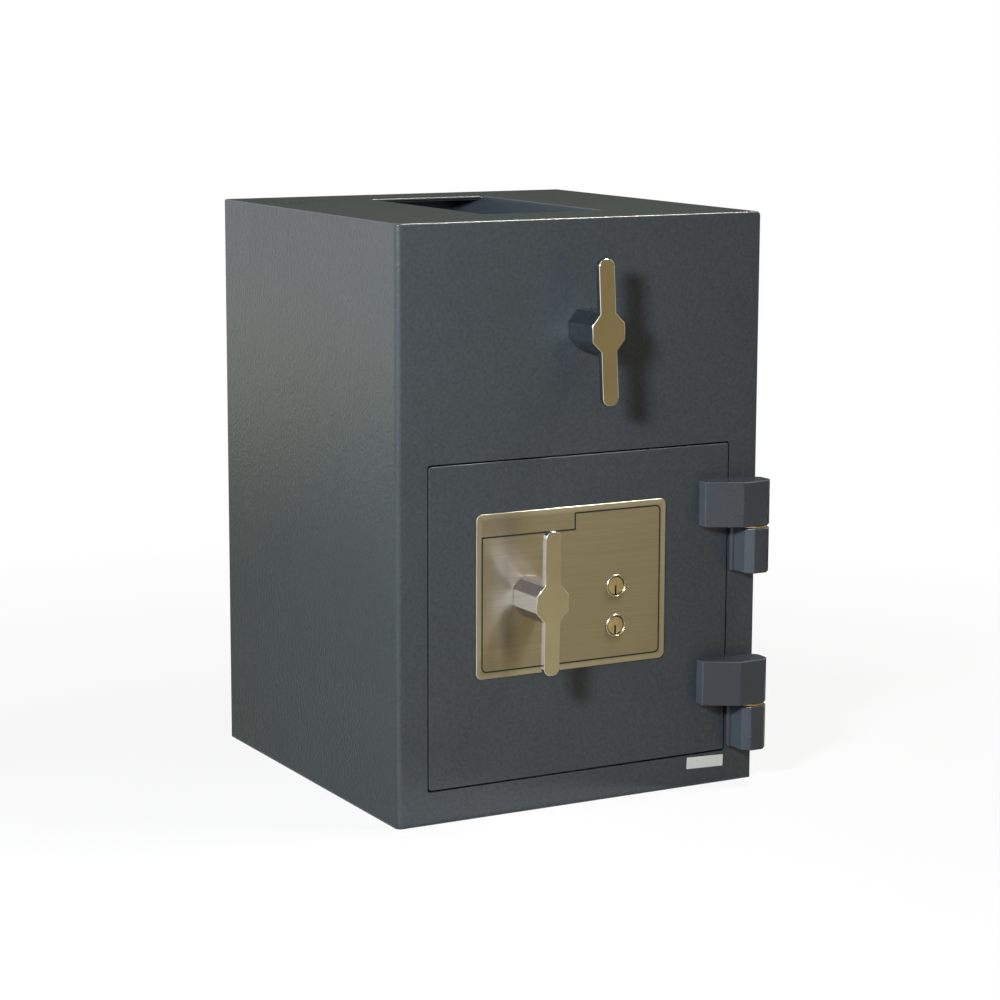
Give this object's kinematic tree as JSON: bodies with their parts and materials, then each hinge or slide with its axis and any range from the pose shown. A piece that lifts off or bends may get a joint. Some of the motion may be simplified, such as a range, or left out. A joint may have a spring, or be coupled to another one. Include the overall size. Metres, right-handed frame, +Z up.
{
  "type": "rotary hopper safe",
  "caption": "Free-standing steel deposit safe: a rotary hopper under a mouth in the top, turned by a front handle, above a hinged door with key locks and a bolt handle.",
  "frame": {"origin": "centre of the underside of the body", "axes": "+X to the right of someone facing the door, -Y out of the door towards them, +Z up"},
  "size_m": [0.3555, 0.3941, 0.508],
  "materials": {
    "body_paint": "fine textured powder coat, dark blue-grey",
    "hinge_paint": "semi-gloss powder coat, dark blue-grey",
    "chrome": "polished chrome plate",
    "brushed_steel": "brushed along its length",
    "brass": "machined",
    "plated_steel": "zinc plated",
    "label_stock": "matt off-white label"
  },
  "bodies": {
    "safe_body": {"left_side_plate": "body_paint", "right_side_plate": "body_paint", "top_plate": "body_paint", "bottom_plate": "body_paint", "back_plate": "body_paint", "front_panel": "body_paint", "door_sill": "body_paint", "left_jamb": "body_paint", "right_jamb": "body_paint", "blank_label": "label_stock", "guide_plate_left": "body_paint", "guide_plate_right": "body_paint", "front_bush": "brass", "rear_bearing_block": "body_paint", "rear_bush": "brass", "stop_stud": "plated_steel", "hinge_body_block_upper": "hinge_paint", "hinge_body_block_lower": "hinge_paint", "hinge_pin_upper": "plated_steel", "hinge_pin_lower": "plated_steel", "hinge_washer_upper": "brass", "hinge_washer_lower": "brass"},
    "hopper": {"hopper_handle": "chrome", "hopper_handle_set_screw": "plated_steel", "hopper_shaft_front": "plated_steel", "scoop_disc_front": "body_paint", "scoop_disc_rear": "body_paint", "scoop_shell": "body_paint", "hopper_shaft_rear": "plated_steel", "stop_sector": "plated_steel"},
    "door": {"door_plate": "body_paint", "hinge_door_block_upper": "hinge_paint", "hinge_door_block_lower": "hinge_paint", "escutcheon_plate": "brushed_steel", "dead_bar": "plated_steel", "lock_barrel_upper": "chrome", "lock_barrel_lower": "chrome", "bolt_guide_rail": "plated_steel", "carriage_stud_upper": "plated_steel", "carriage_stud_lower": "plated_steel", "inner_cover": "body_paint", "cover_screw_lower_left": "plated_steel", "cover_screw_upper_left": "plated_steel", "cover_screw_lower_right": "plated_steel", "cover_screw_upper_right": "plated_steel"},
    "door_handle_works": {"door_handle": "chrome", "door_handle_set_screw": "plated_steel", "door_spindle": "plated_steel", "cam_disc": "plated_steel", "drive_pin": "plated_steel"},
    "bolt_carriage": {"bolt_carriage_plate": "plated_steel", "live_bolt_upper": "plated_steel", "live_bolt_lower": "plated_steel", "bolt_rivet_upper": "plated_steel", "bolt_rivet_lower": "plated_steel"},
    "upper_key_works": {"key_plug_upper": "brass", "lock_cam_upper": "plated_steel"},
    "lower_key_works": {"key_plug_lower": "brass", "lock_cam_lower": "plated_steel"}
  },
  "joints": [
    {"name": "hopper_turn", "type": "hinge", "parent": "safe_body", "child": "hopper", "pos_m": [0, -0.176, 0.4145], "axis": [0, 1, 0], "range_deg": [0, 180]},
    {"name": "door_hinge", "type": "hinge", "parent": "safe_body", "child": "door", "pos_m": [0.1653, -0.1909, 0.168], "axis": [0, 0, 1], "range_deg": [0, 180]},
    {"name": "door_handle_turn", "type": "hinge", "parent": "door", "child": "door_handle_works", "pos_m": [-0.05265, -0.176, 0.1895], "axis": [0, -1, 0], "range_deg": [0, 90]},
    {"name": "bolt_slide", "type": "slide", "parent": "door", "child": "bolt_carriage", "axis": [-1, 0, 0], "range_m": [0, 0.02405]},
    {"name": "upper_key_turn", "type": "hinge", "parent": "door", "child": "upper_key_works", "pos_m": [0.03375, -0.176, 0.1895], "axis": [0, -1, 0], "range_deg": [0, 90]},
    {"name": "lower_key_turn", "type": "hinge", "parent": "door", "child": "lower_key_works", "pos_m": [0.03375, -0.176, 0.1545], "axis": [0, -1, 0], "range_deg": [0, 90]}
  ],
  "couplings": [
    {"joint": "bolt_slide", "follows": "door_handle_turn", "m_per_rad": 0.0153}
  ]
}
